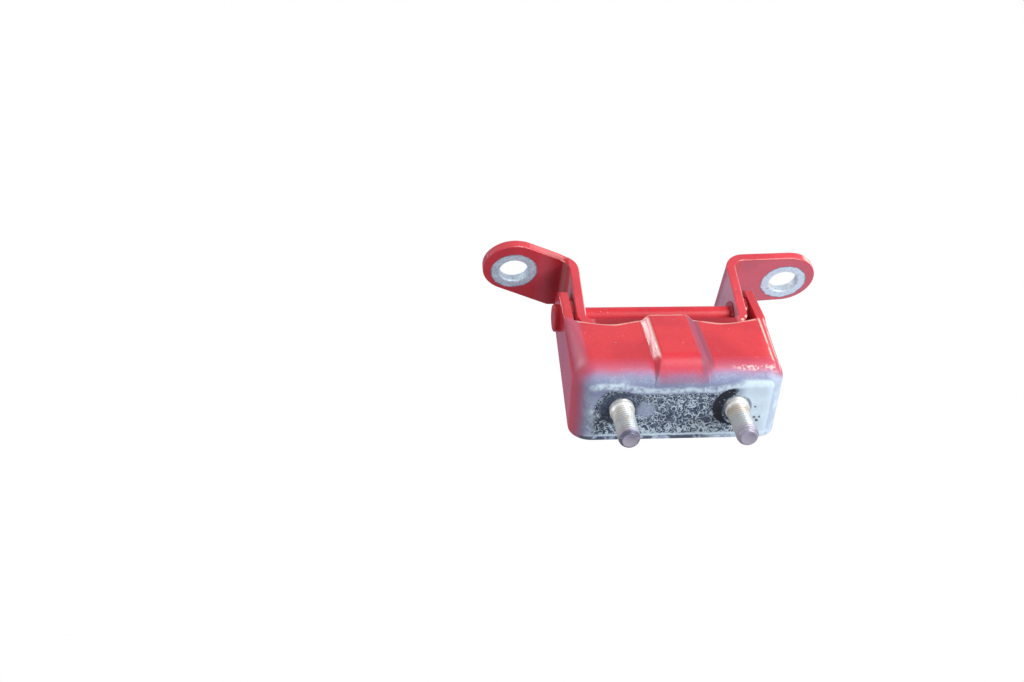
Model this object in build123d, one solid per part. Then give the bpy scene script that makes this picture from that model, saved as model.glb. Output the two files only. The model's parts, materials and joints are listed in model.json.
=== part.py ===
from build123d import *
import os
from math import hypot

# Car door hinge, millimetres. X runs from the pillar seat to the door, Y to the side of the door bracket's
# web, Z up along the pin. The origin is midway between the two pillar bolt holes, on the pillar seat.

# Both pressings
sheet = 3.6            # steel thickness
bend_in = 4.2          # inside radius of the bends
bend_out = bend_in + sheet
bridge_bend = 2.4      # inside radius of the two bends beside the bridge
edge_round = 0.5       # broken edge of the blanked sheet

# Where the pin stands
pin_x = 25.2           # pin axis in front of the pillar seat
mid_z = 1.0            # middle of the hinge above the middle of the bolt holes
rest_turn = 16.0       # turn of the door bracket about the pin, 0 with studs square to the seat

# Pin and bushes
pin_d = 8.0
head_rim, head_t = 1.4, 2.2      # formed head, its rim beyond the pin
swage_rim, swage_t = 0.8, 1.5    # swaged lower end
run_gap = 0.03         # between the pin and a bush
end_gap = 0.1          # between a bush flange and an ear
bush_wall = 0.97
bush_bore = pin_d + 2 * run_gap
bush_d = bush_bore + 2 * bush_wall
flange_rim, flange_t = 2.5, 1.9
curl_rim, curl_t = 1.0, 0.9      # rolled-over inner end of a bush

# Door bracket, from the pin axis with the web level
wall_half = 39.0       # outer face of a side wall from the middle
web_y = 8.6            # outer face of the web
ear_r = web_y + 1.4    # rounded ends of the ears, about the pin
dip = 2.6              # hollows in the web's pin-side edge
face_x = 49.0          # mounting face
face_y = -22.0         # lower edge of the mounting face
heel, heel_r = 9.0, 10.0         # rounded corner at the lower edge of a wall, back from the face
rib_top, rib_base, rib_h = 14.6, 20.2, 2.6
rib_round = 2.4        # rounded upper edges of the rib
rib_nose = 9.0         # radius over which the rib runs down into the mounting face
full_bend = face_x - 11.0        # from here on the bends between web and walls have their full radius
wall_bend = 3.0        # their outside radius at the web's pin-side edge
ear_bend = 1.0         # outside radius left at the ears, whose edges are nearly square
ear_run = 3.2          # length over which the ears' edges turn into bends
corner_in = 0.6        # inside radius of the bends at the ears

# Pillar bracket
leg_half = wall_half - sheet - end_gap - flange_t    # outer face of a leg from the middle
leg_front = 9.2        # leg edge on the web side of the pin
leg_back = -9.0        # leg edge behind the pin
root_back = -16.5      # leg edge behind the pin where the wing begins
root_x = 11.8          # where the leg has widened to its root, from the seat
neck_x = 1.0           # where the leg starts to widen, back from the pin
leg_round = 8.0        # rounding where the leg widens
bridge_x = 12.0        # outer face of the bridge from the pin
hole_y, hole_out = 3.8, 22.6     # bolt holes, one at +Y +Z and one at -Y -Z, out from the legs
hole_z = leg_half + hole_out
hole_d = 11.5
wing_r = 12.5          # rounded end of a wing
wing_y = 1.4           # its centre, from the hole towards the web's side
wing_root, wing_shoulder = 6.6, 1.5        # where a wing has its full width, out from the leg: back, front
wing_round = 3.0       # rounding there
swing_gap = 0.28       # between the bridge's corner and the web edge that swings past it
edge_x = hypot(bridge_x, leg_front) + swing_gap      # pin-side edge of the web

# Studs
stud_d = 8.0
stud_gap = 42.6        # between the two studs
stud_y = -7.8
stud_out = 18.2        # tip in front of the mounting face
collar_d, collar_l = stud_d + 1.2, 1.8    # plain collar that fills the hole and stands out of the face
collar_groove = 0.6    # broken edge of the hole round the collar
stud_head_d, stud_head_t = stud_d + 6.0, 3.0
point_d, point_l = stud_d - 1.8, 1.4      # chamfered tip

reach = wall_half + hole_z       # longer than any cut needs


def break_edges(solid, radius):
    """Round every sharp edge of a blanked sheet."""
    beside = {}
    for face in solid.faces():
        for edge in face.edges():
            beside.setdefault(hash(edge), []).append(face)
    sharp = []
    for edge in solid.edges():
        normals = [face.normal_at(edge.position_at(0.5)) for face in beside[hash(edge)]]
        if len(normals) == 2 and normals[0].get_angle(normals[1]) > 25:
            sharp.append(edge)
    return fillet(sharp, radius)


def tray_block(inset, ear_bend, wall_bend, bend):
    """The drawn tray as a full block. Its web-to-wall bends close up from the mounting face to the ears."""
    half, top, front = wall_half - inset, web_y - inset, face_x - inset
    depth = top - face_y + 30

    def section(x, radius):
        low = top - depth
        outline = make_face(Polyline((low, -half), (top, -half), (top, half), (low, half), close=True))
        return Plane.YZ.offset(x) * fillet([v for v in outline.vertices() if v.X > top - 1], radius)

    box = Pos(full_bend, top, 0) * Box(front - full_bend, depth, 2 * half,
                                       align=(Align.MIN, Align.MAX, Align.CENTER))
    at_web = [e for e in box.edges() if e.center().Y > top - 0.1 and e.center().X > full_bend + 0.1]
    at_face = [e for e in box.edges() if face_y - 15 < e.center().Y < top - 0.1 and e.center().X > front - 0.1]
    block = fillet(at_web + at_face, bend)
    ears = edge_x - 0.6 * ear_run
    block += loft([section(ears + ear_run, wall_bend), section(full_bend, bend)])
    block += loft([section(ears, ear_bend), section(ears + ear_run, wall_bend)])
    return block + extrude(section(ears, ear_bend), -edge_x - 20)


def rib(inset):
    """The web's stiffening rib: a trapezium that follows the bend and runs down into the mounting face."""
    slope = inset * (hypot(rib_h, (rib_base - rib_top) / 2) - (rib_base - rib_top) / 2) / rib_h
    top, base = rib_top / 2 - slope, rib_base / 2 - slope
    deep = 0.8 * bend_in
    low, crest = web_y - inset - deep, web_y - inset + rib_h
    foot = base + deep * (base - top) / rib_h
    section = make_face(Polyline((low, -foot), (crest, -top), (crest, top), (low, foot), close=True))
    upper = [v for v in section.vertices() if v.X > low + 0.1]
    section = fillet(upper, rib_round if inset == 0 else rib_round / 2)
    bend_x, bend_y = face_x - bend_out, web_y - bend_out
    section = Plane.YZ.offset(bend_x) * section
    bar = extrude(section, -bend_x - 30)
    bar += revolve(section, Axis((bend_x, bend_y, 0), (0, 0, -1)), 90)
    nose_x, nose_y, nose = face_x - rib_nose, web_y + rib_h - rib_nose, rib_nose - inset
    over = CenterArc((nose_x, nose_y), nose, 0, 90)
    around = Polyline(over @ 1, (-40, crest), (-40, face_y), (nose_x + nose, face_y), over @ 0)
    return bar & extrude(make_face([*over.edges(), *around.edges()]), 30, both=True)


def web_edge():
    """Everything between the ears on the pin's side of the hollowed web edge."""
    inner, rib_side = wall_half - sheet, rib_base / 2
    middle = (inner + rib_side) / 2
    pts = [(edge_x - 0.6, inner), (edge_x + 0.9, inner - 4.4), (edge_x + dip, middle - 2.2),
           (edge_x + 0.7, rib_side + 2.4), (edge_x, rib_side - 1.6), (edge_x, 0)]
    pts += [(x, -z) for x, z in reversed(pts[:-1])]
    edge = Spline([(x, z) for x, z in pts])
    back = Polyline((edge_x - 0.6, -inner), (-40, -inner), (-40, inner), (edge_x - 0.6, inner))
    return extrude(Plane.XZ * make_face([*edge.edges(), *back.edges()]), reach, both=True)


def make_door_bracket():
    outer = tray_block(0, ear_bend, wall_bend, bend_out) + rib(0)
    tray = outer - (tray_block(sheet, corner_in, corner_in, bend_in) + rib(sheet))
    tray -= web_edge()
    # side outline: rounded ears, then a straight back edge down to the mounting face
    around = CenterArc((0, 0), ear_r, 100, 145)
    far_x, far_y = face_x + 20, web_y + 30
    sides = Polyline(around @ 1, (face_x - heel, face_y), (far_x, face_y), (far_x, far_y), (0, far_y),
                     around @ 0)
    outline = make_face([*around.edges(), *sides.edges()])
    outline = fillet([v for v in outline.vertices() if abs(v.X - face_x + heel) < 0.1], heel_r)
    tray &= extrude(outline, reach, both=True)
    rims = [e for e in tray.edges() if e.bounding_box().max.Y < edge_round - ear_r + 0.5]
    lip = [e for e in tray.edges() if e.center().Y > web_y - 0.01 and e.center().X < edge_x + dip
           and abs(e.center().Z) < wall_half - sheet - 0.1]
    tray = fillet(rims + lip, edge_round)
    tray -= Cylinder(pin_d / 2, 2 * reach)
    for side in (1, -1):
        at_stud = Pos(face_x, stud_y, side * stud_gap / 2) * Rot(0, 90, 0)
        groove = Cone(collar_d / 2, collar_d / 2 + 2 * collar_groove, 2 * collar_groove)
        tray -= at_stud * Cylinder(collar_d / 2, 3 * sheet) + at_stud * groove
    return tray


def make_pillar_bracket():
    h, t, x0 = leg_half, sheet, -pin_x
    end = h + hole_z
    corners = [(end, x0 + t), (h, x0 + t), (h, bridge_x), (-h, bridge_x), (-h, x0 + t), (-end, x0 + t),
               (-end, x0), (t - h, x0), (t - h, bridge_x - t), (h - t, bridge_x - t), (h - t, x0), (end, x0)]
    hat = make_face(Polyline(*corners, close=True))
    for i, radius in ((1, bend_in), (10, bend_out), (2, bridge_bend + t), (9, bridge_bend)):
        (u, v), hit = corners[i], 0.01
        hat = fillet([c for c in hat.vertices() if abs(abs(c.X) - u) < hit and abs(c.Y - v) < hit], radius)
    across = Plane(origin=(0, 0, 0), x_dir=(0, 0, 1), z_dir=(0, 1, 0))
    strap = extrude(across * hat, reach, both=True)

    # outline of the legs and the bridge, seen along the pin
    leg = make_face(Polyline((x0 - 1, leg_front), (bridge_x + 8, leg_front), (bridge_x + 8, leg_back),
                             (-neck_x, leg_back), (x0 + root_x, root_back), (x0 - 1, root_back), close=True))
    leg = fillet([v for v in leg.vertices() if x0 + root_x - 1 < v.X < 0], leg_round)
    keep = extrude(leg, h, both=True)
    # outlines of the wings, seen along the bolts
    facing = Plane(origin=(x0 + t + bend_in + 0.4, 0, 0), x_dir=(0, 0, 1), z_dir=(-1, 0, 0))
    holes = []
    for side in (1, -1):
        z, y = side * hole_z - mid_z, side * hole_y
        root, shoulder = side * (h + wing_root), side * (h + wing_shoulder)
        tip = Pos(z, y + wing_y) * Circle(wing_r)
        wing = make_hull([*tip.edges(), Line((shoulder, leg_front), (root, root_back))])
        wing += make_face(Polyline((side * (h - 1), leg_front), (shoulder, leg_front), (root, root_back),
                                   (side * (h - 1), root_back), close=True))
        ends = [v for v in wing.vertices() if min(abs(v.X - root), abs(v.X - shoulder)) < 0.01]
        wing = fillet(ends, wing_round)
        keep += extrude(facing * wing, 30)
        holes.append(Pos(x0, y, z) * Rot(0, 90, 0) * Cylinder(hole_d / 2, 4 * t))
    strap &= keep
    for hole in holes:
        strap -= hole
    strap = break_edges(strap, edge_round)
    return strap - Cylinder(bush_d / 2, 2 * reach)


def make_pin():
    upward, downward = (Align.CENTER, Align.CENTER, Align.MIN), (Align.CENTER, Align.CENTER, Align.MAX)
    head = Pos(0, 0, wall_half) * Cylinder(pin_d / 2 + head_rim, head_t, align=upward)
    head = fillet(head.edges().sort_by(Axis.Z)[-1:], 0.8)
    end = Pos(0, 0, -wall_half) * Cylinder(pin_d / 2 + swage_rim, swage_t, align=downward)
    end = chamfer(end.edges().sort_by(Axis.Z)[:1], 0.9)
    return Cylinder(pin_d / 2, 2 * wall_half) + head + end


def make_bush(side):
    low, high = leg_half - sheet - curl_t, leg_half + flange_t
    upward, downward = (Align.CENTER, Align.CENTER, Align.MIN), (Align.CENTER, Align.CENTER, Align.MAX)
    body = Pos(0, 0, low) * Cylinder(bush_d / 2, high - low, align=upward)
    body += Pos(0, 0, high) * Cylinder(bush_d / 2 + flange_rim, flange_t, align=downward)
    curl = Pos(0, 0, low) * Cylinder(bush_d / 2 + curl_rim, curl_t, align=upward)
    body += fillet(curl.edges().sort_by(Axis.Z)[:1], 0.5)
    body -= Cylinder(bush_bore / 2, 2 * reach)
    return body if side > 0 else mirror(body, Plane.XY)


def make_stud(side):
    seat, shoulder, tip = face_x - sheet, face_x + collar_l, face_x + stud_out
    r, head_r, collar_r, bevel = stud_d / 2, stud_head_d / 2, collar_d / 2, 0.6
    half = Polyline((seat - stud_head_t, 0), (seat - stud_head_t, head_r - bevel),
                    (seat - stud_head_t + bevel, head_r), (seat, head_r), (seat, collar_r),
                    (shoulder, collar_r), (shoulder + bevel, r), (tip - point_l, r), (tip, point_d / 2),
                    (tip, 0), close=True)
    return Pos(0, stud_y, side * stud_gap / 2) * revolve(make_face(half), Axis.X)


at_pin = Pos(pin_x, 0, mid_z)
turned = at_pin * Rot(0, 0, rest_turn)
nodes = {
    "pillar_bracket": at_pin * make_pillar_bracket(),
    "upper_bush": at_pin * make_bush(1),
    "lower_bush": at_pin * make_bush(-1),
    "door_bracket": turned * make_door_bracket(),
    "hinge_pin": turned * make_pin(),
    "upper_stud": turned * make_stud(1),
    "lower_stud": turned * make_stud(-1),
}

os.makedirs("parts", exist_ok=True)
for name, solid in nodes.items():
    export_step(solid, f"parts/{name}.step")
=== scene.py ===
import json
import math
from collections import namedtuple
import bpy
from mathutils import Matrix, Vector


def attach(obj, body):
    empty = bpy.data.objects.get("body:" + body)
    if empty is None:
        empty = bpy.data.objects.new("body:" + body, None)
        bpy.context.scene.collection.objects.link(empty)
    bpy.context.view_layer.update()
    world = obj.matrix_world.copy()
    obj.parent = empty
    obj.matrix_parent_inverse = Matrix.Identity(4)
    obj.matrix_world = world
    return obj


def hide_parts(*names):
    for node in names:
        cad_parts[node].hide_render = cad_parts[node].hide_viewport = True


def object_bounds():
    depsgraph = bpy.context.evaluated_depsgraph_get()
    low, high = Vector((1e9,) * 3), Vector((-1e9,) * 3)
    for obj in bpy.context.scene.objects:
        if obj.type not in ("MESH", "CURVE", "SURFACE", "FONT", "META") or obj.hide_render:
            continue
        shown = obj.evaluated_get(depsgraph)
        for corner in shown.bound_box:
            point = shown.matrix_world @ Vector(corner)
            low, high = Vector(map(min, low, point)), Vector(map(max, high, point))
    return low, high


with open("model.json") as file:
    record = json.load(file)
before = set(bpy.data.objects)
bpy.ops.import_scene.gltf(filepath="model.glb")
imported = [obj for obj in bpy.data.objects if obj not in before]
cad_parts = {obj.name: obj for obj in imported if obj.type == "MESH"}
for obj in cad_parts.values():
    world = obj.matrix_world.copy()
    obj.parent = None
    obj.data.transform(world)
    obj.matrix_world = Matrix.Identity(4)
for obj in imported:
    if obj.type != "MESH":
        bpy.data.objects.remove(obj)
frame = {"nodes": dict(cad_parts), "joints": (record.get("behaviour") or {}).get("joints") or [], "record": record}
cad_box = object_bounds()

from types import SimpleNamespace

import bmesh
import bpy
from bpy.props import FloatProperty, FloatVectorProperty, PointerProperty
from mathutils import Matrix, Vector

bl_info = {
    "name": "Car door hinge",
    "version": (1, 0, 0),
    "blender": (4, 5, 0),
    "location": "View3D > Sidebar > Hinge",
    "description": "Paint, bare metal, threaded studs and a studio for a pressed-steel car door hinge",
    "category": "Object",
}

MM = 0.001
mounts = {mount["name"]: mount for mount in frame["record"]["mounts"]}

# The pin's axis, and the door bracket's own axes about it, in millimetres: s out to the mounting face,
# r up to the web, z along the pin. The camera has +z at its left.
PIN = Vector(frame["joints"][0]["pos_m"])
OUTWARD = Vector(mounts["door_seat"]["axis"])
TURN = math.atan2(OUTWARD.y, OUTWARD.x)
UPWARD = Vector((-math.sin(TURN), math.cos(TURN), 0))
FACE = (Vector(mounts["door_seat"]["pos_m"]) - PIN).dot(OUTWARD) / MM
STUD_R = (Vector(mounts["door_studs"]["pos_m"]) - PIN).dot(UPWARD) / MM
STUD_Z = mounts["door_studs"]["dims"]["pcd_mm"] / 2
STUD_RADIUS = mounts["door_studs"]["dims"]["stud_r_mm"]

# The strap's bolt holes, one towards the web above the middle and one away from it below
HOLE_RADIUS = mounts["pillar_bolts"]["dims"]["hole_r_mm"]
HOLE_Y = 3.8
HOLE_Z = math.sqrt((mounts["pillar_bolts"]["dims"]["pcd_mm"] / 2) ** 2 - HOLE_Y ** 2)

# The camera, fitted to the photograph
CAMERA_AT = Vector((0.3323, 0.3553, 0.1061))
CAMERA_RIGHT = Vector((0.0747, 0.0699, -0.9948))
CAMERA_UP = Vector((-0.7676, 0.6408, -0.0127))
CAMERA_BACK = Vector((0.6365, 0.7644, 0.1015))
FOCAL_PIXELS = 1214.07
IMAGE_WIDTH = 1024
SENSOR_WIDTH = 36.0


def length(name, description, millimetres):
    return FloatProperty(name=name, description=description, default=millimetres * MM, precision=5,
                         subtype="DISTANCE", unit="LENGTH")


def share(name, description, default):
    return FloatProperty(name=name, description=description, default=default, min=0, max=1,
                         subtype="FACTOR")


def colour(name, description, default):
    return FloatVectorProperty(name=name, description=description, default=default, size=3, min=0, max=1,
                               subtype="COLOR")


class HingePaint(bpy.types.PropertyGroup):
    """The red top coat, with colours for its painted sheen, shade and highlights"""
    red: colour("Red", "Top coat", (0.74, 0.030, 0.045))
    deep_red: colour("Deep red", "Top coat where it lies thicker", (0.62, 0.018, 0.034))
    # This colour is the overspray, and also a painted reflection on the tray's left bend
    mist_and_sheen: colour("Mist", "Overspray, where the coat runs out", (0.42, 0.17, 0.29))
    # This colour is a painted reflection, a dull lilac sheen on the rib's right flank
    flank_sheen: colour("Lilac", "Dull coat on the flank of the rib", (0.22, 0.10, 0.17))
    # This colour is painted shade: on the bridge, in the upper wing's corner and on the bushes; it also darkens
    # the pin's head
    painted_shade: colour("Grime", "Dirt in gaps and corners", (0.20, 0.010, 0.018))
    # This colour is a painted reflection, a lavender sheen on the sides of the legs and faintly all over the strap
    painted_sheen: colour("Haze", "Thin coat on the sides of the legs", (0.78, 0.50, 0.62))
    speck: colour("Speck", "Dust and small chips", (0.86, 0.55, 0.55))
    # This colour is for painted highlights, on edges and bends that catch the light
    painted_highlight: colour("Worn", "Top coat worn through to its pale ground", (0.95, 0.70, 0.62))
    roughness: share("Roughness", "Gloss of the top coat", 0.16)
    specular: share("Specular", "Strength of its reflections", 0.36)
    fade_at: length("Fade", "Middle of the overspray, from the pin", 46.5)
    fade_width: length("Fade width", "Half the width of the overspray", 2.6)


class HingeMetal(bpy.types.PropertyGroup):
    """The bare zinc and what is left on it"""
    zinc: colour("Zinc", "Bare zinc", (0.36, 0.42, 0.57))
    # This colour is paler bare zinc, in the sealer's squiggles and edges, towards the face's ends and on the lower
    # ring
    pale_zinc: colour("Pale zinc", "Bare zinc where it is rubbed", (0.78, 0.92, 1.0))
    dusk: colour("Dusk", "Bare zinc under the last of the overspray", (0.24, 0.26, 0.43))
    residue: colour("Residue", "Dark sealer left on the mounting face", (0.046, 0.060, 0.105))
    black: colour("Black", "Thick sealer beside the studs", (0.018, 0.022, 0.034))
    stud: colour("Stud", "Plated studs", (0.66, 0.66, 0.65))
    stud_cool: colour("Stud middle", "Plating half way along", (0.42, 0.48, 0.53))
    stud_tip: colour("Stud tip", "Plating towards the tips", (0.38, 0.34, 0.43))
    stud_brown: colour("Stud brown", "Dull plating in the thread", (0.40, 0.31, 0.21))
    roughness: share("Roughness", "Gloss of the bare zinc", 0.46)
    ring_radius: length("Ring", "Bare ring round a bolt hole", 9.25)
    hole_y: length("Hole across", "Bolt hole from the middle, across the strap", HOLE_Y)
    hole_z: length("Hole along", "Bolt hole from the middle, along the strap", HOLE_Z)


class HingeStuds(bpy.types.PropertyGroup):
    """The two door studs"""
    pitch: length("Pitch", "Thread pitch", 1.25)
    depth: length("Depth", "Thread depth", 0.72)
    collar: length("Collar", "Collar in front of the mounting face", 1.8)
    collar_radius: length("Collar radius", "Radius of the collar", 4.6)
    length: length("Length", "Tip in front of the mounting face", 18.2)
    head_radius: length("Head radius", "Radius of the head inside the bracket", 7.0)
    head_height: length("Head height", "Height of the head inside the bracket", 3.0)
    sheet: length("Sheet", "Thickness of the bracket's sheet", 3.6)


class HingeStage(bpy.types.PropertyGroup):
    """Floor, light and camera"""
    floor_drop: length("Floor drop", "Floor under the lowest point", 600)
    floor: colour("Floor", "Pale floor", (0.90, 0.90, 0.90))
    ambient: share("Ambient", "Light from all round", 0.25)


def in_millimetres(settings):
    """The lengths of a group of settings, in millimetres."""
    names = type(settings).__annotations__
    return SimpleNamespace(**{name: getattr(settings, name) / MM for name in names})


def empty_tree(owner):
    """Nodes and links of a new material or world, with nothing in it yet."""
    owner.use_nodes = True
    owner.node_tree.nodes.clear()
    return owner.node_tree.nodes, owner.node_tree.links


def add_object(name, data):
    made = bpy.data.objects.new(name, data)
    bpy.context.scene.collection.objects.link(made)
    return made


def add_mesh(name, shape):
    """Object made of a bmesh, which is freed."""
    mesh = bpy.data.meshes.new(name)
    shape.to_mesh(mesh)
    shape.free()
    return add_object(name, mesh)


class Field:
    """A number over a surface: sums, products and steps of fields become nodes."""

    def __init__(self, finish, socket):
        self.finish = finish
        self.socket = socket

    def __add__(self, other):
        return self.finish.math("ADD", self, other)

    def __sub__(self, other):
        return self.finish.math("SUBTRACT", self, other)

    def __mul__(self, other):
        return self.finish.math("MULTIPLY", self, other)

    def __rsub__(self, other):
        return self.finish.math("SUBTRACT", other, self)

    __radd__ = __add__
    __rmul__ = __mul__

    def __abs__(self):
        return self.finish.math("ABSOLUTE", self)

    def sign(self):
        return self.finish.math("SIGN", self)

    def most(self, other):
        return self.finish.math("MAXIMUM", self, other)

    def least(self, other):
        return self.finish.math("MINIMUM", self, other)

    def rise(self, low, high):
        """0 up to low and 1 from high on, or the other way round where high is less than low."""
        node = self.finish.nodes.new("ShaderNodeMapRange")
        node.interpolation_type = "SMOOTHSTEP"
        self.finish.put(node.inputs["Value"], self)
        node.inputs["From Min"].default_value = low
        node.inputs["From Max"].default_value = high
        return Field(self.finish, node.outputs["Result"])

    def near(self, place, inner, outer):
        """1 within inner of a place and 0 beyond outer."""
        return abs(self - place).rise(outer, inner)

    def within(self, start, full, last, end):
        """0 before start, 1 from full to last and 0 after end."""
        return self.rise(start, full) * self.rise(end, last)


class Finish:
    """A material whose fields are in millimetres, in axes turned about the pin or in the hinge's own."""

    def __init__(self, name, origin=(0, 0, 0), turn=0.0):
        self.material = bpy.data.materials.new(name)
        self.nodes, self.links = empty_tree(self.material)
        self.shader = self.nodes.new("ShaderNodeBsdfPrincipled")
        output = self.nodes.new("ShaderNodeOutputMaterial")
        self.links.new(self.shader.outputs["BSDF"], output.inputs["Surface"])
        self.coordinates = self.nodes.new("ShaderNodeTexCoord")
        place = self.nodes.new("ShaderNodeMapping")
        place.vector_type = "TEXTURE"
        place.inputs["Location"].default_value = origin
        place.inputs["Rotation"].default_value = (0, 0, turn)
        place.inputs["Scale"].default_value = (MM, MM, MM)
        self.links.new(self.coordinates.outputs["Object"], place.inputs["Vector"])
        self.at = place.outputs["Vector"]
        split = self.nodes.new("ShaderNodeSeparateXYZ")
        self.links.new(self.at, split.inputs["Vector"])
        self.x, self.y, self.z = (Field(self, socket) for socket in split.outputs)

    def put(self, socket, value):
        """Link a field or a colour to a socket, or set a plain value on it."""
        if isinstance(value, Field):
            self.links.new(value.socket, socket)
        elif isinstance(value, bpy.types.NodeSocket):
            self.links.new(value, socket)
        elif hasattr(value, "__len__"):
            socket.default_value = (*value, 1.0)
        else:
            socket.default_value = value

    def math(self, operation, *values):
        node = self.nodes.new("ShaderNodeMath")
        node.operation = operation
        for socket, value in zip(node.inputs, values):
            self.put(socket, value)
        return Field(self, node.outputs["Value"])

    def facing(self, direction):
        """How far the surface faces a direction, from -1 to 1."""
        node = self.nodes.new("ShaderNodeVectorMath")
        node.operation = "DOT_PRODUCT"
        self.links.new(self.coordinates.outputs["Normal"], node.inputs[0])
        node.inputs[1].default_value = direction
        return Field(self, node.outputs["Value"])

    def noise(self, per_mm, detail=2.0, warp=0.0, stretch=1.0):
        """Soft noise, drawn out along x by stretch."""
        squeeze = self.nodes.new("ShaderNodeVectorMath")
        squeeze.operation = "MULTIPLY"
        self.links.new(self.at, squeeze.inputs[0])
        squeeze.inputs[1].default_value = (1 / stretch, 1, 1)
        node = self.nodes.new("ShaderNodeTexNoise")
        self.links.new(squeeze.outputs["Vector"], node.inputs["Vector"])
        node.inputs["Scale"].default_value = per_mm
        node.inputs["Detail"].default_value = detail
        node.inputs["Distortion"].default_value = warp
        return Field(self, node.outputs[0])

    def wander(self, per_mm, detail, height):
        """Noise about 0, as high as height from its lowest to its highest."""
        return (self.noise(per_mm, detail) - 0.5) * height

    def dots(self, per_mm, radius, kept):
        """Small round dots, in that share of the cells of a grid."""
        node = self.nodes.new("ShaderNodeTexVoronoi")
        self.links.new(self.at, node.inputs["Vector"])
        node.inputs["Scale"].default_value = per_mm
        split = self.nodes.new("ShaderNodeSeparateColor")
        self.links.new(node.outputs["Color"], split.inputs["Color"])
        reach = radius * per_mm
        near = Field(self, node.outputs["Distance"]).rise(reach, 0.6 * reach)
        return near * Field(self, split.outputs[0]).rise(1 - kept, 1.02 - kept)

    def mix(self, factor, first, second):
        node = self.nodes.new("ShaderNodeMix")
        node.data_type = "RGBA"
        sockets = {socket.identifier: socket for socket in node.inputs}
        self.put(sockets["Factor_Float"], factor)
        self.put(sockets["A_Color"], first)
        self.put(sockets["B_Color"], second)
        return next(socket for socket in node.outputs if socket.identifier == "Result_Color")

    def apart(self, across, along):
        """Distance over two fields at right angles."""
        return self.math("SQRT", across * across + along * along)

    def round_spot(self, y, z):
        """Distance from a line along x through y, z."""
        return self.apart(self.y - y, self.z - z)

    def relief(self, height, distance):
        """Fine relief, as high as distance in millimetres."""
        node = self.nodes.new("ShaderNodeBump")
        node.inputs["Distance"].default_value = distance * MM
        self.put(node.inputs["Height"], height)
        self.links.new(node.outputs["Normal"], self.shader.inputs["Normal"])

    def surface(self, base, metallic, roughness):
        self.put(self.shader.inputs["Base Color"], base)
        self.put(self.shader.inputs["Metallic"], metallic)
        self.put(self.shader.inputs["Roughness"], roughness)
        return self.material


def top_coat(finish):
    """The red paint: slow changes of shade and a few specks."""
    paint = bpy.context.scene.hinge_paint
    red = finish.mix(finish.noise(0.055, 3).rise(0.38, 0.66), paint.red, paint.deep_red)
    red = finish.mix(finish.noise(0.9, 4).rise(0.50, 0.75) * 0.14, red, paint.mist_and_sheen)
    specks = (finish.dots(0.46, 0.21, 0.26) * 0.8).most(finish.dots(0.85, 0.12, 0.22) * 0.55)
    return finish.mix(specks, red, paint.speck)


def bare_zinc(finish):
    """Bare zinc, cloudy and finely mottled."""
    metal = bpy.context.scene.hinge_metal
    cloud = finish.noise(0.16, 4) * 0.6 + finish.noise(1.3, 3) * 0.4
    return finish.mix(cloud.rise(0.42, 0.72), metal.zinc, metal.pale_zinc)


def painted_and_bare(finish, bare, zinc, flecks=0.0, undertone_share=0.0, undertone=None, painted_highlight=0.0, dull=0.0):
    """Painted where bare is 0 and zinc where it is 1, with an undertone for overspray, painted sheen and painted
    shade, and painted highlights.
    """
    paint, metal = bpy.context.scene.hinge_paint, bpy.context.scene.hinge_metal
    peel = finish.noise(0.55, 1.0)
    grain = finish.noise(2.2, 3.0)
    finish.shader.inputs["Specular IOR Level"].default_value = paint.specular
    finish.relief(peel * 0.03 + bare * grain * 0.06 + flecks, 1.0)
    gloss = bare * (metal.roughness - paint.roughness) + paint.roughness
    base = finish.mix(undertone_share, top_coat(finish), undertone or paint.mist_and_sheen)
    base = finish.mix(bare.rise(0.0, 0.55), base, paint.mist_and_sheen)
    base = finish.mix(bare.rise(0.30, 1.0), base, zinc)
    base = finish.mix(painted_highlight, base, paint.painted_highlight)
    return finish.surface(base, bare * 0.3, gloss + grain * 0.06 + dull)


def dress(node, material):
    """Give a node of the frame its material."""
    slots = frame["nodes"][node].data.materials
    slots.clear()
    slots.append(material)


# Places on the strap, in millimetres, each from where a mark sets in to where it is full: the front side,
# the legs (painted sheen), the bridge and the upper wing's corner (painted shade), with where it is last full and
# ends
STRAP_FRONT = (1.6, 2.2)
LEGS_X = (6.0, 12.0)
BRIDGE_X, BRIDGE_Z = (31.0, 33.0), (29.5, 27.0)
CORNER_X, CORNER_Z = (9.0, 5.0), (33.0, 35.0, 38.0, 50.0)

# The rounded edges of the strap that catch the light
LEG_EDGE = Vector((0, 1, -1)).normalized()
WING_EDGE = Vector((1, 1, 0)).normalized()

# The legs' edge on the web's side, and painted glints at the end of the lower leg: x, z and radius
LEG_FRONT = 9.2
LEG_END_GLINTS = ((34.8, -29.9, 0.8), (33.4, -31.9, 1.0))


def strap_zinc(finish, front):
    """Where the strap is bare, which is round its bolt holes and on its seat, and the zinc there."""
    metal = bpy.context.scene.hinge_metal
    side = finish.z.sign()
    hole_y, hole_z, ring_radius = metal.hole_y / MM, metal.hole_z / MM, metal.ring_radius / MM
    radius = finish.apart(finish.y * side - hole_y, abs(finish.z) - hole_z)
    ragged = radius + finish.wander(0.5, 3, 0.9)
    ring = ragged.rise(ring_radius + 0.25, ring_radius - 0.15) * front
    bore = radius.rise(HOLE_RADIUS + 0.8, HOLE_RADIUS + 0.5)
    seat = (finish.x + finish.wander(0.4, 3, 0.25)).rise(0.42, 0.12)
    rim = ragged.near(ring_radius, 0.10, 0.50) * front * finish.noise(0.3, 2).rise(0.34, 0.52)
    mottle = finish.noise(1.1, 3).rise(0.54, 0.70) * front * 0.45
    # Painted shade and light: the upper ring is kept darker and the lower one paler, as the upper wing lies in
    # shade
    zinc = finish.mix(0.65 - side * 0.25, bare_zinc(finish), metal.pale_zinc)
    zinc = finish.mix((rim * 0.8).most(mottle), zinc, metal.residue)
    return ring.most(bore).most(seat), zinc


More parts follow.
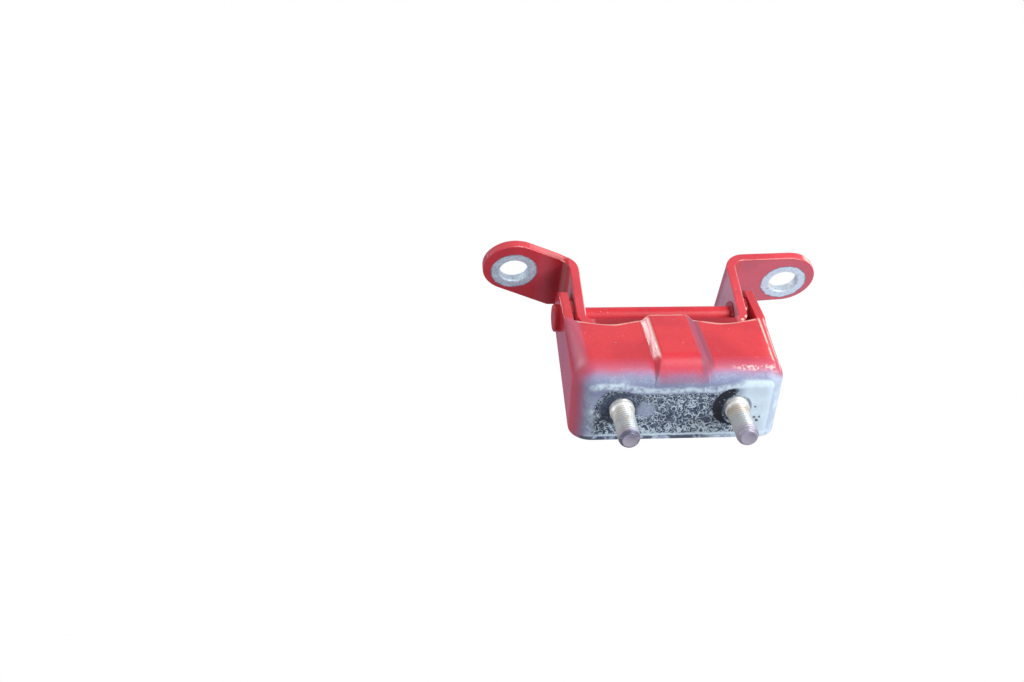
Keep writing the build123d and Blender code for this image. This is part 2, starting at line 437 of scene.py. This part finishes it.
def pillar_bracket_finish():
    """Red strap with bare rings round the bolt holes and a bare seat."""
    paint = bpy.context.scene.hinge_paint
    finish = Finish("strap_paint")
    x, z = finish.x, finish.z
    front = x.rise(*STRAP_FRONT)
    bare, zinc = strap_zinc(finish, front)

    # painted sheen on the legs' sides and faintly all over; painted shade on the bridge and the upper wing's
    # corner
    legs = abs(finish.facing((0, 0, 1))).rise(0.85, 0.97) * x.rise(*LEGS_X)
    legs *= finish.noise(0.25, 3).rise(0.0, 0.5)
    bridge = x.rise(*BRIDGE_X) * abs(z).rise(*BRIDGE_Z)
    corner = z.within(*CORNER_Z) * x.rise(*CORNER_X) * front
    undertone = finish.mix(bridge.most(corner), paint.painted_sheen, paint.painted_shade)
    undertone_share = (legs * 0.8).most(bridge * 0.6).most(corner * 0.5).most(0.06)

    # painted highlights along the rounded edges that catch the light, and painted glints at the lower leg's end
    edges = finish.facing(LEG_EDGE).rise(0.93, 0.99) * 0.8
    edges = edges.most(finish.facing(WING_EDGE).rise(0.93, 0.99) * 0.4)
    painted_highlight = edges * finish.noise(0.12, 3).rise(0.36, 0.52)
    for glint_x, glint_z, radius in LEG_END_GLINTS:
        glint = finish.apart(x - glint_x, z - glint_z) + finish.wander(0.9, 2, 0.8)
        on_edge = finish.y.rise(LEG_FRONT - 0.8, LEG_FRONT - 0.4)
        painted_highlight = painted_highlight.most(glint.rise(radius, radius - 0.4) * on_edge)
    return painted_and_bare(finish, bare, zinc, undertone_share=undertone_share, undertone=undertone, painted_highlight=painted_highlight)


# The patch of sealer on the mounting face: its upper edge, how much and where that rises towards the studs,
# its lower edge, its two ends along the pin and its rounding about the left stud
PATCH_TOP, PATCH_RISE, PATCH_RISE_AT = -1.2, 1.7, (12, 23)
PATCH_FOOT, PATCH_LEFT, PATCH_RIGHT, PATCH_ROUND = -19.6, 30.4, -19.6, 9.6

# Where along the pin the zinc turns paler: right and left of the patch, and on the right wall
PALER_RIGHT, PALER_LEFT, PALER_WALL = (-20, -25), (29, 33), (-30, -34)

# Smaller marks on the mounting face: r, z and radius
SMUDGE = (-8.6, 12.2, 1.8)
SPOTS = ((-7.6, -28.2, 0.55), (-12.6, -28.6, 0.7), (-13.9, -29.9, 0.8), (-12.4, -30.6, 0.5))

# Crescents beside the studs, inside one circle and outside another: r and z from the stud, and radius
RIGHT_CRESCENT = ((0.3, 0.7, 8.1), (-0.9, -1.9, 7.5))
LEFT_CRESCENT = ((0.2, 0.9, 6.6), (-0.4, -1.5, 6.6))


def sealer_patch(finish, zinc, top, wander, on_face):
    """The dark patch with its pale squiggles, and the height of these."""
    metal = bpy.context.scene.hinge_metal
    r, z = finish.y, finish.z
    below = (top - r).rise(-0.4, 0.6)
    right_end = z + wander + r.rise(-12, -17) * 3.5
    inside = (r + wander * 0.4).rise(PATCH_FOOT, PATCH_FOOT + 0.8)
    inside *= (z + wander).rise(PATCH_LEFT + 1.8, PATCH_LEFT) * right_end.rise(PATCH_RIGHT - 3, PATCH_RIGHT)
    from_left_stud = finish.round_spot(STUD_R, STUD_Z)
    corner = z.rise(STUD_Z - 0.5, STUD_Z + 0.5) * r.rise(STUD_R - 2.0, STUD_R + 1.0)
    rounded = 1 - corner * (from_left_stud + wander).rise(PATCH_ROUND, PATCH_ROUND + 1.4)
    smudge_r, smudge_z, smudge_radius = SMUDGE
    smudge = finish.round_spot(smudge_r, smudge_z).rise(smudge_radius, smudge_radius + 3.0)
    patch = below * inside * rounded * on_face * (smudge * 0.85 + 0.15)

    squiggle = abs(finish.noise(0.36, 1.0, 1.2) - 0.5).least(abs(finish.noise(0.50, 0.5, 0.8) - 0.47))
    width = (finish.noise(0.08, 2).rise(0.35, 0.65) + r.rise(-12, -20) + 1) * 0.014
    by_stud = from_left_stud.rise(10.5, 7.5) * r.rise(STUD_R - 4.0, STUD_R)
    fleck = (squiggle - width).rise(0.020, -0.013) * (0.75 - by_stud * 0.35)
    dark = finish.mix(finish.noise(0.8, 2).rise(0.3, 0.75) * 0.35, metal.residue, metal.zinc)
    dark = finish.mix(fleck, dark, metal.pale_zinc)
    return finish.mix(patch, zinc, dark), patch * fleck * 0.13


def sealer_edges(finish, zinc, top, wander, on_face):
    """A pale wavy ridge along the patch's upper edge, a pale line along its lower one and chips below."""
    metal = bpy.context.scene.hinge_metal
    r, z = finish.y, finish.z
    ridge = (r - top).near(1.5, 0.3, 1.9) * on_face * z.rise(36, 30)
    ridge *= finish.noise(0.45, 2, 0.6).rise(0.25, 0.6)
    zinc = finish.mix(ridge * 0.8, zinc, metal.pale_zinc)
    line = (r + wander * 0.3).near(PATCH_FOOT, 0.15, 0.6) * on_face * z.rise(31, 28)
    zinc = finish.mix(line * 0.8, zinc, metal.pale_zinc)
    chipped = (r + wander * 0.4).rise(PATCH_FOOT - 0.4, PATCH_FOOT - 0.8) * z.rise(-16, -8)
    chipped *= finish.noise(0.35, 3).rise(0.38, 0.5)
    return finish.mix(chipped * 0.85, zinc, metal.residue)


def crescent(finish, stud_z, inside, outside, soft):
    """1 inside one circle and outside another, each given by r and z from a stud and its radius."""
    shape = 1.0
    for (r, z, radius), edge in ((inside, soft), (outside, -soft)):
        shape = finish.round_spot(STUD_R + r, stud_z + z).rise(radius + edge, radius) * shape
    return shape


def sealer_marks(finish, zinc, on_face):
    """Dark crescents beside the studs, lines round their collars and spots at the right."""
    metal = bpy.context.scene.hinge_metal
    r, z = finish.y, finish.z
    right = crescent(finish, -STUD_Z, *RIGHT_CRESCENT, soft=0.5) * z.rise(-21.5, -19.5)
    zinc = finish.mix(right * on_face * finish.noise(0.8, 2).rise(0.26, 0.36), zinc, metal.black)
    left = crescent(finish, STUD_Z, *LEFT_CRESCENT, soft=1.0)
    zinc = finish.mix(left * on_face * 0.8, zinc, metal.residue)
    collar = finish.apart(r - STUD_R, abs(z) - STUD_Z).near(5.2, 0.2, 0.7)
    collar *= finish.noise(0.3, 2).rise(0.30, 0.50) * on_face
    zinc = finish.mix(collar * 0.6, zinc, metal.residue)
    for spot_r, spot_z, radius in SPOTS:
        spot = finish.round_spot(spot_r, spot_z) + finish.wander(1.0, 2, 1.1)
        zinc = finish.mix(spot.rise(radius, radius - 0.3) * on_face * 0.85, zinc, metal.residue)
    return zinc


def sealer(finish, zinc):
    """What is left of the sealer on the mounting face, over zinc that is paler in places, and the height of its
    flecks.
    """
    metal = bpy.context.scene.hinge_metal
    r, z = finish.y, finish.z
    on_face = finish.x.rise(FACE - 0.9, FACE - 0.4)
    wander = finish.wander(0.20, 3, 2.0)
    top = abs(z).rise(*PATCH_RISE_AT) * PATCH_RISE + PATCH_TOP + wander
    paler = (r + z * 0.25).rise(-9, -14) * z.rise(*PALER_LEFT)
    paler = z.rise(*PALER_RIGHT).most(paler) * 0.75
    zinc = finish.mix(paler * on_face.most(z.rise(*PALER_WALL) * 0.5), zinc, metal.pale_zinc)
    zinc, flecks = sealer_patch(finish, zinc, top, wander, on_face)
    zinc = sealer_edges(finish, zinc, top, wander, on_face)
    return sealer_marks(finish, zinc, on_face), flecks


# How much further the coat reaches over the rib and the left bend, and how much less over the right bend
RUN_ON_RIB, RUN_ON_LEFT, SHORT_ON_RIGHT = 2.0, 0.9, 5.5

# Where these are along the pin, where the rib's flanks begin and end, and where the front bend has a painted
# highlight
RIB_TOP, LEFT_BEND, RIGHT_BEND = (11.5, 8.0), (31, 37), (-31, -38)
LEFT_FLANK, RIGHT_FLANK = (6.0, 7.5, 11.0, 12.5), (-6.4, -7.4, -11.2, -12.4)
FRONT_GLINT = (-17, -24, -33, -37)

# Marks that only the web has set in between these two values of r
WEB_FROM = (3, 5)

# The web's edge on the pin's side: its distance from the pin, the depth of its two hollows, and where
# along the pin they begin, are deepest and end
RIM, RIM_DIP = 15.4, 2.6
RIM_RIB, RIM_MIDDLE, RIM_WALL = 8.5, 20.5, 36.4

# Painted highlights as pale lines along the right bend and the rib's left flank: place along the pin, how it
# drifts with s, raggedness, distances from the place at which the line is full and gone, and the stretch of s it
# covers
Line = namedtuple("Line", "place drift ragged full gone stretch")
BEND_LINES = (Line(-36.6, 0.047, 0.3, 0.20, 0.60, (14, 16, 42, 46)),
              Line(-38.2, 0.030, 0.2, 0.15, 0.50, (14, 16, 42, 46)))
FLANK_LINES = (Line(7.8, 0.0, 0.3, 0.25, 0.60, (16, 18, 41, 44)),
               Line(9.3, 0.0, 0.4, 0.25, 0.75, (17, 19, 29, 34)))


def fade_depth(finish):
    """Millimetres past the middle of the overspray."""
    paint = bpy.context.scene.hinge_paint
    s, r, z = finish.x, finish.y, finish.z
    low = r.rise(6, -2)
    run_on = abs(z).rise(*RIB_TOP) * r.rise(1.0, 4.0) * RUN_ON_RIB
    run_on += z.rise(*LEFT_BEND) * low * RUN_ON_LEFT
    run_on -= z.rise(*RIGHT_BEND) * low * SHORT_ON_RIGHT
    return s - paint.fade_at / MM - run_on + finish.wander(0.14, 3, 1.5)


def highlight_lines(finish, grain, lines):
    """Thin lines of painted highlight along the tray."""
    painted_highlight = 0.0
    for line in lines:
        place = finish.z - finish.x * line.drift + grain * line.ragged
        shape = place.near(line.place, line.full, line.gone) * finish.x.within(*line.stretch)
        painted_highlight = shape.most(painted_highlight)
    return painted_highlight


def tray_highlights(finish, depth, grain):
    """Painted highlights on the tray: front bend, right bend, the rib's left flank and the web's edge."""
    s, r, z = finish.x, finish.y, finish.z
    front_glint = (depth + grain * 2).near(-1.2, 0.3, 1.5) * z.within(*FRONT_GLINT)
    front_glint *= finish.noise(0.7, 3, 0.5).rise(0.46, 0.58) * 0.7

    bend = highlight_lines(finish, grain, BEND_LINES) * r.rise(2.0, 4.0)
    bend *= finish.noise(0.16, 2).rise(0.30, 0.48) * 0.75
    flank = highlight_lines(finish, grain, FLANK_LINES) * r.rise(*WEB_FROM) * 0.6

    hollow = abs(z).within(RIM_RIB, RIM_MIDDLE, RIM_MIDDLE, RIM_WALL) * RIM_DIP
    rim = (s - hollow).near(RIM, 0.6, 1.0) * abs(z).rise(RIM_WALL - 1.0, RIM_WALL - 2.4)
    rim *= finish.noise(0.12, 2).rise(0.30, 0.48) * 0.5
    return front_glint.most(bend).most(flank).most(rim)


def door_bracket_finish():
    """Red tray whose paint fades over the bends into a bare mounting face."""
    paint, metal = bpy.context.scene.hinge_paint, bpy.context.scene.hinge_metal
    finish = Finish("tray_paint", PIN, TURN)
    s, r, z = finish.x, finish.y, finish.z
    grain = finish.wander(1.6, 3, 1.0)
    depth = fade_depth(finish)
    web = r.rise(*WEB_FROM)

    # the tray's outer skin, which faces the web's side, the door or one of the two ends
    upward, outward = finish.facing(UPWARD), finish.facing(OUTWARD)
    skin = upward.most(outward).most(finish.facing((0, 0, 1)) * z.sign()).rise(0.1, 0.3)

    # bare past the overspray, darker where the last of it lies
    fade = paint.fade_width / MM
    bare = (depth + grain * 1.8).rise(-fade, fade) * outward.rise(-0.3, -0.05)
    border = (r + grain).rise(-4.5, -1.0).most(abs(z).rise(32.0, 35.5))
    dusk = (depth + grain).rise(5.5, 2.5) * border * 0.65
    zinc, flecks = sealer(finish, finish.mix(dusk, bare_zinc(finish), metal.dusk))

    # a coat that runs out towards the overspray; painted reflections on the left bend and on the rib's right flank
    off_rib = 1 - abs(z).rise(13, 10) * web * 0.6
    on_bend = z.rise(32.5, 35.0) * upward.rise(0.2, 0.6) * s.rise(12, 15)
    on_flank = z.within(*RIGHT_FLANK) * web
    undertone_share = (depth + grain * 3).rise(-8.0, -1.0) * off_rib * 0.5
    undertone_share = undertone_share.most(on_bend * 0.5).most(on_flank * 0.7) * skin
    undertone = finish.mix(on_flank.rise(0.0, 0.14), paint.mist_and_sheen, paint.flank_sheen)

    # less gloss there, and in streaks on the rib's left flank
    left_flank = z.within(*LEFT_FLANK) * web
    streaks = finish.noise(0.9, 2, stretch=9.0).rise(0.46, 0.60) * left_flank
    dull = (undertone_share * 0.45).most(depth.rise(-9, -2) * (1 - bare) * 0.30) + streaks * 0.12
    painted_highlight = tray_highlights(finish, depth, grain) * skin
    return painted_and_bare(finish, bare, zinc, flecks, undertone_share, undertone, painted_highlight, dull)


def pin_finish():
    """Dull red pin with a darker head and a few bare marks."""
    paint = bpy.context.scene.hinge_paint
    finish = Finish("pin_paint_worn")
    bare = finish.noise(0.35, 3).rise(0.70, 0.80) * 0.4
    # the head darker, mixed towards the same dark red as the painted shade
    head = finish.z.rise(36.0, 39.5) * 0.4
    return painted_and_bare(finish, bare, bare_zinc(finish), undertone_share=head, undertone=paint.painted_shade, dull=0.25)


def bush_finish(curl_bare):
    """Bush with blotchy painted shade over its paint, for the dark gaps it sits in; more of its rolled inner end
    is bare as curl_bare grows.
    """
    paint = bpy.context.scene.hinge_paint
    finish = Finish("bush_plating")
    inner = abs(finish.z - PIN.z / MM).rise(33.0, 32.0)
    bare = inner * (finish.noise(0.30, 3) + curl_bare).rise(0.95, 1.10)
    gap_shade = finish.noise(0.5, 3).rise(0.25, 0.55) * 0.7
    return painted_and_bare(finish, bare, bare_zinc(finish), undertone_share=gap_shade, undertone=paint.painted_shade)


# The studs: points round them and rows in a pitch, bevels of head and collar, chamfer and radius of the
# tip, the flat in the middle of each end, and the thread's crest and flank as shares of half a pitch
AROUND, ROWS = 72, 12
BEVEL, CHAMFER, TIP_RADIUS, HUB = 0.6, 1.4, 3.1, 0.4
THREAD_CREST, THREAD_FLANK = 0.16, 0.60

# How far from the mounting face the plating turns cool and takes the tip's colour, where rust at the right
# stud ends, and the radii over which the thread's root turns brown
STUD_COOL, STUD_END, STUD_RUST = (4.5, 9.0), (12.5, 17.0), (9.5, 4.5)
THREAD_ROOT = (3.85, 3.40)


def stud_finish():
    """Plated studs, dull and brownish in the thread, with a dark rim at the tip."""
    metal = bpy.context.scene.hinge_metal
    tip = bpy.context.scene.hinge_studs.length / MM
    finish = Finish("stud_plating", PIN, TURN)
    radius = finish.apart(finish.y - STUD_R, abs(finish.z) - STUD_Z)
    out = finish.x - FACE
    base = finish.mix(out.rise(*STUD_COOL) * 0.8, metal.stud, metal.stud_cool)
    threaded = out.within(2.0, 3.5, tip - 1.4, tip - 0.6)
    rusty = finish.noise(0.28, 3).rise(0.42, 0.70) * 0.4 + radius.rise(*THREAD_ROOT) * 0.45
    rusty += finish.z.rise(-10, -14) * out.rise(*STUD_RUST) * 0.35
    base = finish.mix(rusty * threaded, base, metal.stud_brown)
    base = finish.mix(out.rise(*STUD_END) * 0.85, base, metal.stud_tip)
    rim = out.rise(tip - 1.6, tip - 1.1) * radius.rise(TIP_RADIUS - 0.45, TIP_RADIUS - 0.2)
    rim *= finish.noise(0.5, 2).rise(0.20, 0.42)
    base = finish.mix(rim * (finish.z.sign() * 0.30 + 0.50), base, metal.residue)
    finish.relief(finish.noise(1.8, 3), 0.03)
    return finish.surface(base, 0.55, 0.40)


def stud_rings():
    """Rings of a stud from its head to its cupped tip, each a list of (distance from the face, radius)."""
    size = in_millimetres(bpy.context.scene.hinge_studs)
    head_top, head_low = -size.sheet, -size.sheet - size.head_height
    start, tip = size.collar + BEVEL, size.length
    step = size.pitch / ROWS

    def plain(rows):
        return [[row] * AROUND for row in rows]

    def threaded(x):
        ring = []
        for i in range(AROUND):
            turn = (x / size.pitch - i / AROUND) % 1.0
            groove = min(max((abs(2 * turn - 1) - THREAD_CREST) / THREAD_FLANK, 0.0), 1.0)
            groove *= min(max((x - start) / (1.2 * size.pitch), 0.0), 1.0)
            limit = STUD_RADIUS - max(0.0, x - tip + CHAMFER) / CHAMFER * (STUD_RADIUS - TIP_RADIUS)
            ring.append((x, min(STUD_RADIUS - groove * size.depth, limit)))
        return ring

    head = [(head_low, HUB), (head_low, size.head_radius - BEVEL - 0.2),
            (head_low + 0.05, size.head_radius - BEVEL), (head_low + BEVEL, size.head_radius),
            (head_top - 0.2, size.head_radius), (head_top, size.head_radius - 0.2)]
    collar = [(head_top, size.collar_radius), (size.collar - 0.15, size.collar_radius),
              (size.collar, size.collar_radius - 0.08), (size.collar + 0.12, size.collar_radius - 0.22)]
    cup = [(tip - 0.06, TIP_RADIUS - 0.05), (tip, TIP_RADIUS - 0.25), (tip - 0.02, TIP_RADIUS - 0.6),
           (tip - 0.30, TIP_RADIUS - 1.3), (tip - 0.34, HUB)]
    count = int((tip - 0.15 - start) / step)
    thread = [threaded(start + (k + 1) * step) for k in range(count)]
    return plain([*head, *collar, (start, STUD_RADIUS)]) + thread + plain(cup)


def stud_shape(centre):
    """A stud turned about its axis."""
    shape = bmesh.new()
    side = OUTWARD.cross(UPWARD)
    angles = [2 * math.pi * i / AROUND for i in range(AROUND)]
    spokes = [UPWARD * math.cos(angle) + side * math.sin(angle) for angle in angles]
    rows = []
    for ring in stud_rings():
        places = (OUTWARD * x + spoke * radius for (x, radius), spoke in zip(ring, spokes))
        rows.append([shape.verts.new(centre + place * MM) for place in places])
    for low, high in zip(rows, rows[1:]):
        for i in range(AROUND):
            j = (i + 1) % AROUND
            shape.faces.new((low[i], low[j], high[j], high[i]))
    shape.faces.new(rows[0][::-1])
    shape.faces.new(rows[-1])
    bmesh.ops.recalc_face_normals(shape, faces=shape.faces)
    for face in shape.faces:
        face.smooth = True
    return shape


class HINGE_OT_pillar_bracket(bpy.types.Operator):
    """Paint the strap that bolts to the pillar"""
    bl_idname = "hinge.pillar_bracket"
    bl_label = "Pillar bracket"

    def execute(self, context):
        dress("pillar_bracket", pillar_bracket_finish())
        return {"FINISHED"}


class HINGE_OT_door_bracket(bpy.types.Operator):
    """Paint the tray that is fixed to the door"""
    bl_idname = "hinge.door_bracket"
    bl_label = "Door bracket"

    def execute(self, context):
        dress("door_bracket", door_bracket_finish())
        return {"FINISHED"}


class HINGE_OT_pin(bpy.types.Operator):
    """Paint the hinge pin"""
    bl_idname = "hinge.pin"
    bl_label = "Hinge pin"

    def execute(self, context):
        dress("hinge_pin", pin_finish())
        return {"FINISHED"}


class HINGE_OT_bushes(bpy.types.Operator):
    """Finish the two flanged bushes"""
    bl_idname = "hinge.bushes"
    bl_label = "Bushes"

    def execute(self, context):
        dress("upper_bush", bush_finish(curl_bare=0.75))
        dress("lower_bush", bush_finish(curl_bare=0.35))
        return {"FINISHED"}


class HINGE_OT_studs(bpy.types.Operator):
    """Make the two threaded studs"""
    bl_idname = "hinge.studs"
    bl_label = "Door studs"

    def execute(self, context):
        finish = stud_finish()
        for node, side in (("upper_stud", 1), ("lower_stud", -1)):
            centre = PIN + (OUTWARD * FACE + UPWARD * STUD_R + Vector((0, 0, side * STUD_Z))) * MM
            stud = add_mesh(f"{node}_threaded", stud_shape(centre))
            stud.data.materials.append(finish)
            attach(stud, "door_side")
            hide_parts(node)
        return {"FINISHED"}


class HINGE_OT_stage(bpy.types.Operator):
    """Set up the floor, the light and the camera"""
    bl_idname = "hinge.stage"
    bl_label = "Stage"

    def execute(self, context):
        context.scene.view_settings.view_transform = "Standard"
        make_world()
        make_floor()
        make_lamps()
        make_cards()
        make_camera()
        return {"FINISHED"}


def background_seen(nodes, links):
    """1 where a ray looks straight at the background, in the picture, in gloss or through glass."""
    path = nodes.new("ShaderNodeLightPath")
    seen = path.outputs["Is Camera Ray"]
    for name in ("Is Glossy Ray", "Is Transmission Ray"):
        node = nodes.new("ShaderNodeMath")
        node.operation = "MAXIMUM"
        links.new(seen, node.inputs[0])
        links.new(path.outputs[name], node.inputs[1])
        seen = node.outputs["Value"]
    return seen


def make_world():
    """White where it is looked at, and a plain level of light from all round."""
    world = bpy.data.worlds.new("studio")
    bpy.context.scene.world = world
    nodes, links = empty_tree(world)
    level = nodes.new("ShaderNodeMapRange")
    level.inputs["To Min"].default_value = bpy.context.scene.hinge_stage.ambient
    level.inputs["To Max"].default_value = 1.0
    background = nodes.new("ShaderNodeBackground")
    background.inputs["Color"].default_value = (1, 1, 1, 1)
    output = nodes.new("ShaderNodeOutputWorld")
    links.new(background_seen(nodes, links), level.inputs["Value"])
    links.new(level.outputs["Result"], background.inputs["Strength"])
    links.new(background.outputs["Background"], output.inputs["Surface"])


# The floor's radius and the ring over which it turns into the background, in metres, and the share of white
# in its middle
FLOOR_RADIUS, FLOOR_RING, FLOOR_WHITE = 2.0, (0.05, 0.16), 0.65


def floor_paper():
    """Pale paper that turns into the white background away from its middle."""
    material = bpy.data.materials.new("floor_paper")
    nodes, links = empty_tree(material)
    paper = nodes.new("ShaderNodeBsdfDiffuse")
    paper.inputs["Color"].default_value = (*bpy.context.scene.hinge_stage.floor, 1)
    white = nodes.new("ShaderNodeEmission")
    white.inputs["Strength"].default_value = 1.0
    coordinates = nodes.new("ShaderNodeTexCoord")
    far = nodes.new("ShaderNodeVectorMath")
    far.operation = "LENGTH"
    fade = nodes.new("ShaderNodeMapRange")
    fade.interpolation_type = "SMOOTHSTEP"
    fade.inputs["From Min"].default_value, fade.inputs["From Max"].default_value = FLOOR_RING
    fade.inputs["To Min"].default_value = FLOOR_WHITE
    both = nodes.new("ShaderNodeMath")
    both.operation = "MULTIPLY"
    mix = nodes.new("ShaderNodeMixShader")
    output = nodes.new("ShaderNodeOutputMaterial")
    links.new(coordinates.outputs["Object"], far.inputs[0])
    links.new(far.outputs["Value"], fade.inputs["Value"])
    links.new(fade.outputs["Result"], both.inputs[0])
    links.new(background_seen(nodes, links), both.inputs[1])
    links.new(both.outputs["Value"], mix.inputs["Fac"])
    links.new(paper.outputs["BSDF"], mix.inputs[1])
    links.new(white.outputs["Emission"], mix.inputs[2])
    links.new(mix.outputs["Shader"], output.inputs["Surface"])
    return material


def make_floor():
    """A wide floor under the hinge."""
    low, high = cad_box
    shape = bmesh.new()
    bmesh.ops.create_circle(shape, cap_ends=True, segments=96, radius=FLOOR_RADIUS)
    floor = add_mesh("floor", shape)
    drop = bpy.context.scene.hinge_stage.floor_drop
    floor.location = ((low.x + high.x) / 2, (low.y + high.y) / 2, low.z - drop)
    floor.data.materials.append(floor_paper())


# Lamps: the spot each one shines on and the direction to it from there, in the door bracket's axes, then
# its distance and its two sides in metres, watts and colour
Lamp = namedtuple("Lamp", "spot direction distance sides watts tint")
LAMPS = {
    "key": Lamp((30, 8, 0), (0.20, 0.88, -0.42), 0.60, (0.16, 0.22), 2.6, (1.0, 0.97, 0.94)),
    "fill": Lamp((40, 0, 0), (0.62, 0.40, -0.67), 0.60, (0.30, 0.30), 2.2, (0.87, 0.93, 1.0)),
    "left_fill": Lamp((30, 0, 30), (0.10, 0.10, 0.98), 0.60, (0.30, 0.30), 0.9, (0.92, 0.92, 1.0)),
    "left_card": Lamp((30, 8, 36), (-0.814, 0.15, 0.53), 0.50, (0.12, 0.28), 0.22, (0.86, 0.86, 1.0)),
    "left_strip": Lamp((30, 10, 8.7), (-0.808, 0.255, 0.533), 0.50, (0.02, 0.20), 0.30, (1.0, 1.0, 1.0)),
    "right_card": Lamp((-20, -20, -56), (0.433, -0.842, -0.32), 0.40, (0.16, 0.14), 0.20,
                       (0.62, 0.74, 1.0)),
}


def in_bracket(s, r, z):
    """A direction given in the door bracket's axes."""
    return OUTWARD * s + UPWARD * r + Vector((0, 0, z))


def make_lamps():
    for name, lamp in LAMPS.items():
        light = bpy.data.lights.new(name, "AREA")
        light.shape = "RECTANGLE"
        light.size, light.size_y = lamp.sides
        light.energy = lamp.watts
        light.color = lamp.tint
        back = in_bracket(*lamp.direction).normalized()
        across = UPWARD.cross(back).normalized()
        axes = Matrix((across, back.cross(across), back)).transposed().to_4x4()
        place = PIN + in_bracket(*lamp.spot) * MM + back * lamp.distance
        made = add_object(name, light)
        made.matrix_world = Matrix.Translation(place) @ axes
        made.visible_camera = False


# Cards that only gloss sees: the direction to each one from the pin, in the door bracket's axes, then its
# distance and half its two sides in metres and its colour
Card = namedtuple("Card", "direction distance half tint")
CARDS = {
    "back_card": Card((-0.86, -0.50, 0.0), 0.7, (0.5, 0.95), (0.34, 0.32, 0.46)),
    "front_card": Card((0.42, -0.90, -0.05), 0.6, (0.22, 0.34), (0.22, 0.14, 0.18)),
}


def make_cards():
    for name, card in CARDS.items():
        shape = bmesh.new()
        bmesh.ops.create_grid(shape, x_segments=1, y_segments=1, size=1.0)
        made = add_mesh(name, shape)
        towards = in_bracket(*card.direction).normalized()
        made.location = PIN + towards * card.distance
        made.rotation_euler = towards.to_track_quat("Z", "Y").to_euler()
        made.scale = (*card.half, 1.0)
        made.visible_camera = made.visible_diffuse = made.visible_shadow = False
        material = bpy.data.materials.new(name)
        nodes, links = empty_tree(material)
        glow = nodes.new("ShaderNodeEmission")
        glow.inputs["Color"].default_value = (*card.tint, 1)
        output = nodes.new("ShaderNodeOutputMaterial")
        links.new(glow.outputs["Emission"], output.inputs["Surface"])
        made.data.materials.append(material)


def make_camera():
    data = bpy.data.cameras.new("camera")
    data.sensor_fit = "HORIZONTAL"
    data.sensor_width = SENSOR_WIDTH
    data.lens = FOCAL_PIXELS / IMAGE_WIDTH * SENSOR_WIDTH
    data.clip_start, data.clip_end = 0.01, 20
    camera = add_object("camera", data)
    axes = Matrix((CAMERA_RIGHT, CAMERA_UP, CAMERA_BACK)).transposed()
    camera.matrix_world = Matrix.Translation(CAMERA_AT) @ axes.to_4x4()
    bpy.context.scene.camera = camera


class HINGE_PT_panel(bpy.types.Panel):
    """The hinge's pieces, with their sizes and colours"""
    bl_idname = "HINGE_PT_panel"
    bl_label = "Car door hinge"
    bl_space_type = "VIEW_3D"
    bl_region_type = "UI"
    bl_category = "Hinge"

    def draw(self, context):
        for group, settings_name in GROUPS.items():
            box = self.layout.box()
            box.label(text=group.__doc__)
            settings = getattr(context.scene, settings_name)
            for name in group.__annotations__:
                box.prop(settings, name)
        for operator in OPERATORS:
            self.layout.operator(operator.bl_idname)


GROUPS = {HingePaint: "hinge_paint", HingeMetal: "hinge_metal", HingeStuds: "hinge_studs",
          HingeStage: "hinge_stage"}
OPERATORS = (HINGE_OT_pillar_bracket, HINGE_OT_door_bracket, HINGE_OT_pin, HINGE_OT_bushes, HINGE_OT_studs,
             HINGE_OT_stage)


def register():
    for cls in (*GROUPS, *OPERATORS, HINGE_PT_panel):
        bpy.utils.register_class(cls)
    for group, name in GROUPS.items():
        setattr(bpy.types.Scene, name, PointerProperty(type=group))


def unregister():
    for name in GROUPS.values():
        delattr(bpy.types.Scene, name)
    for cls in (HINGE_PT_panel, *OPERATORS, *GROUPS):
        bpy.utils.unregister_class(cls)


def main():
    register()
    bpy.ops.hinge.pillar_bracket()
    bpy.ops.hinge.door_bracket()
    bpy.ops.hinge.pin()
    bpy.ops.hinge.bushes()
    bpy.ops.hinge.studs()
    bpy.ops.hinge.stage()


if __name__ == "__main__":
    main()
